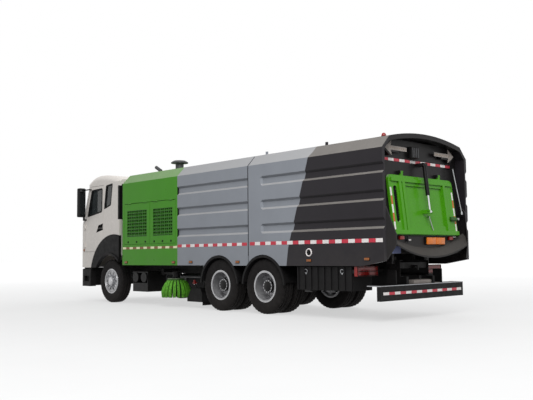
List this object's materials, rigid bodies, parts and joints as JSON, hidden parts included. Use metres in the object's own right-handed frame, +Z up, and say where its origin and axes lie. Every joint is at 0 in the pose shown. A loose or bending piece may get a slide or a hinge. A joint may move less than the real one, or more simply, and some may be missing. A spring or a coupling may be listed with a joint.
{
  "type": "street sweeper truck",
  "caption": "Cab-over washer sweeper truck with an engine module, water tank, tipping hopper with rear door, suction nozzle and side brushes.",
  "frame": {"origin": "centre of the bounding box in plan, on the road under the tyres", "axes": "+X forward along the truck, +Y to its left, +Z up"},
  "size_m": [9.972, 2.94, 3.352],
  "materials": {
    "frame_black": "satin",
    "engine_grey": "matte",
    "tank_black": "satin",
    "trim_black": "matte",
    "lens": "gloss",
    "green_paint": "gloss",
    "door_green": "gloss",
    "silver_paint": "gloss",
    "charcoal_paint": "gloss",
    "chrome_rod": "polished",
    "cab_white": "gloss",
    "glass": "gloss",
    "seat_fabric": "matte",
    "tyre": "matte",
    "wheel_silver": "satin",
    "bristle_green": "matte"
  },
  "bodies": {
    "chassis": {"chassis_frame": "frame_black", "front_axle": "frame_black", "rear_axles": "frame_black", "leaf_springs": "frame_black", "driveline": "engine_grey", "side_tanks": "tank_black", "side_lockers": "trim_black", "mudguards": "trim_black", "rear_bumper": "trim_black", "lamps": "lens", "front_bumper": "trim_black", "module_shell": "green_paint", "air_snorkel": "trim_black", "aux_engine": "engine_grey", "water_tank": "silver_paint"},
    "cab": {"cab_floor": "cab_white", "cab_front": "cab_white", "cab_sides": "cab_white", "cab_roof": "cab_white", "cab_glass": "glass", "cab_fenders": "trim_black", "cab_interior": "seat_fabric"},
    "hopper": {"hopper_sides": "silver_paint", "hopper_roof": "silver_paint", "hopper_tub": "charcoal_paint", "rear_frame": "charcoal_paint"},
    "rear_door": {"rear_door": "door_green"},
    "door_barrel": {"door_barrel": "tank_black"},
    "door_rod": {"door_rod": "chrome_rod"},
    "ram_barrel": {"ram_barrel": "tank_black"},
    "ram_rod": {"ram_rod": "chrome_rod"},
    "suction_nozzle": {"suction_nozzle": "trim_black"},
    "knuckle_left": {"knuckle_left": "frame_black"},
    "knuckle_right": {"knuckle_right": "frame_black"},
    "cab_door_left": {"cab_door_left": "cab_white", "door_glass_left": "glass", "mirror_left": "trim_black"},
    "module_door_front_left": {"module_door_front_left": "green_paint"},
    "module_door_rear_left": {"module_door_rear_left": "green_paint"},
    "wheel_front_left": {"tyre_front_left": "tyre", "rim_front_left": "wheel_silver"},
    "wheels_mid_left": {"tyres_mid_left": "tyre", "rims_mid_left": "wheel_silver"},
    "wheels_rear_left": {"tyres_rear_left": "tyre", "rims_rear_left": "wheel_silver"},
    "brush_arm_left": {"brush_arm_left": "frame_black"},
    "brush_left": {"brush_left": "bristle_green"},
    "cab_door_right": {"cab_door_right": "cab_white", "door_glass_right": "glass", "mirror_right": "trim_black"},
    "module_door_front_right": {"module_door_front_right": "green_paint"},
    "module_door_rear_right": {"module_door_rear_right": "green_paint"},
    "wheel_front_right": {"tyre_front_right": "tyre", "rim_front_right": "wheel_silver"},
    "wheels_mid_right": {"tyres_mid_right": "tyre", "rims_mid_right": "wheel_silver"},
    "wheels_rear_right": {"tyres_rear_right": "tyre", "rims_rear_right": "wheel_silver"},
    "brush_arm_right": {"brush_arm_right": "frame_black"},
    "brush_right": {"brush_right": "bristle_green"}
  },
  "joints": [
    {"name": "steer_left", "type": "hinge", "parent": "chassis", "child": "knuckle_left", "pos_m": [3.516, 0.88, 0.522], "axis": [0, 0, 1], "range_deg": [-38, 38]},
    {"name": "spin_front_left", "type": "hinge", "parent": "knuckle_left", "child": "wheel_front_left", "pos_m": [3.516, 1.03, 0.522], "axis": [0, 1, 0], "continuous": true},
    {"name": "spin_mid_left", "type": "hinge", "parent": "chassis", "child": "wheels_mid_left", "pos_m": [-0.724, 0.93, 0.522], "axis": [0, 1, 0], "continuous": true},
    {"name": "spin_rear_left", "type": "hinge", "parent": "chassis", "child": "wheels_rear_left", "pos_m": [-2.024, 0.93, 0.522], "axis": [0, 1, 0], "continuous": true},
    {"name": "cab_door_left_hinge", "type": "hinge", "parent": "cab", "child": "cab_door_left", "pos_m": [4.687, 1.24, 1.6], "axis": [0, 0, -1], "range_deg": [0, 70]},
    {"name": "module_door_front_left_hinge", "type": "hinge", "parent": "chassis", "child": "module_door_front_left", "pos_m": [2.231, 1.287, 2.354], "axis": [1, 0, 0], "range_deg": [0, 80]},
    {"name": "module_door_rear_left_hinge", "type": "hinge", "parent": "chassis", "child": "module_door_rear_left", "pos_m": [1.206, 1.287, 2.354], "axis": [1, 0, 0], "range_deg": [0, 80]},
    {"name": "brush_swing_left", "type": "hinge", "parent": "chassis", "child": "brush_arm_left", "pos_m": [1.811, 0.8, 0.73], "axis": [0, 0, -1], "range_deg": [0, 30]},
    {"name": "brush_spin_left", "type": "hinge", "parent": "brush_arm_left", "child": "brush_left", "pos_m": [1.116, 0.96, 0.6], "axis": [0, 0, 1], "continuous": true},
    {"name": "steer_right", "type": "hinge", "parent": "chassis", "child": "knuckle_right", "pos_m": [3.516, -0.88, 0.522], "axis": [0, 0, 1], "range_deg": [-38, 38]},
    {"name": "spin_front_right", "type": "hinge", "parent": "knuckle_right", "child": "wheel_front_right", "pos_m": [3.516, -1.03, 0.522], "axis": [0, 1, 0], "continuous": true},
    {"name": "spin_mid_right", "type": "hinge", "parent": "chassis", "child": "wheels_mid_right", "pos_m": [-0.724, -0.93, 0.522], "axis": [0, 1, 0], "continuous": true},
    {"name": "spin_rear_right", "type": "hinge", "parent": "chassis", "child": "wheels_rear_right", "pos_m": [-2.024, -0.93, 0.522], "axis": [0, 1, 0], "continuous": true},
    {"name": "cab_door_right_hinge", "type": "hinge", "parent": "cab", "child": "cab_door_right", "pos_m": [4.687, -1.24, 1.6], "axis": [0, 0, 1], "range_deg": [0, 70]},
    {"name": "module_door_front_right_hinge", "type": "hinge", "parent": "chassis", "child": "module_door_front_right", "pos_m": [2.231, -1.287, 2.354], "axis": [-1, 0, 0], "range_deg": [0, 80]},
    {"name": "module_door_rear_right_hinge", "type": "hinge", "parent": "chassis", "child": "module_door_rear_right", "pos_m": [1.206, -1.287, 2.354], "axis": [-1, 0, 0], "range_deg": [0, 80]},
    {"name": "brush_swing_right", "type": "hinge", "parent": "chassis", "child": "brush_arm_right", "pos_m": [1.811, -0.8, 0.73], "axis": [0, 0, 1], "range_deg": [0, 30]},
    {"name": "brush_spin_right", "type": "hinge", "parent": "brush_arm_right", "child": "brush_right", "pos_m": [1.116, -0.96, 0.6], "axis": [0, 0, 1], "continuous": true},
    {"name": "cab_tilt", "type": "hinge", "parent": "chassis", "child": "cab", "pos_m": [4.911, 0, 0.86], "axis": [0, 1, 0], "range_deg": [0, 45]},
    {"name": "hopper_tip", "type": "hinge", "parent": "chassis", "child": "hopper", "pos_m": [-4.434, 0, 1], "axis": [0, -1, 0], "range_deg": [0, 45]},
    {"name": "rear_door_hinge", "type": "hinge", "parent": "hopper", "child": "rear_door", "pos_m": [-4.735, 0, 2.5], "axis": [0, 1, 0], "range_deg": [0, 85]},
    {"name": "ram_swing", "type": "hinge", "parent": "chassis", "child": "ram_barrel", "pos_m": [-3.689, 0, 0.8], "axis": [0, -1, 0], "range_deg": [0, 58.45]},
    {"name": "ram_stroke", "type": "slide", "parent": "ram_barrel", "child": "ram_rod", "axis": [0.9813, 0, 0.1925], "range_m": [0, 0.4956]},
    {"name": "door_barrel_swing", "type": "hinge", "parent": "hopper", "child": "door_barrel", "pos_m": [-4.824, 0, 2.66], "axis": [0, 1, 0], "range_deg": [0, 80.92]},
    {"name": "door_rod_stroke", "type": "slide", "parent": "door_barrel", "child": "door_rod", "axis": [0.1084, 0, 0.9941], "range_m": [0, 0.2495]},
    {"name": "nozzle_lower", "type": "slide", "parent": "chassis", "child": "suction_nozzle", "axis": [0, 0, -1], "range_m": [0, 0.1]}
  ],
  "couplings": [
    {"joint": "steer_right", "follows": "steer_left", "ratio": 1},
    {"joint": "ram_swing", "follows": "hopper_tip", "ratio": 1.2766},
    {"joint": "ram_stroke", "follows": "hopper_tip", "m_per_rad": 0.61827},
    {"joint": "door_barrel_swing", "follows": "rear_door_hinge", "ratio": 0.94029},
    {"joint": "door_rod_stroke", "follows": "rear_door_hinge", "m_per_rad": 0.16143}
  ]
}
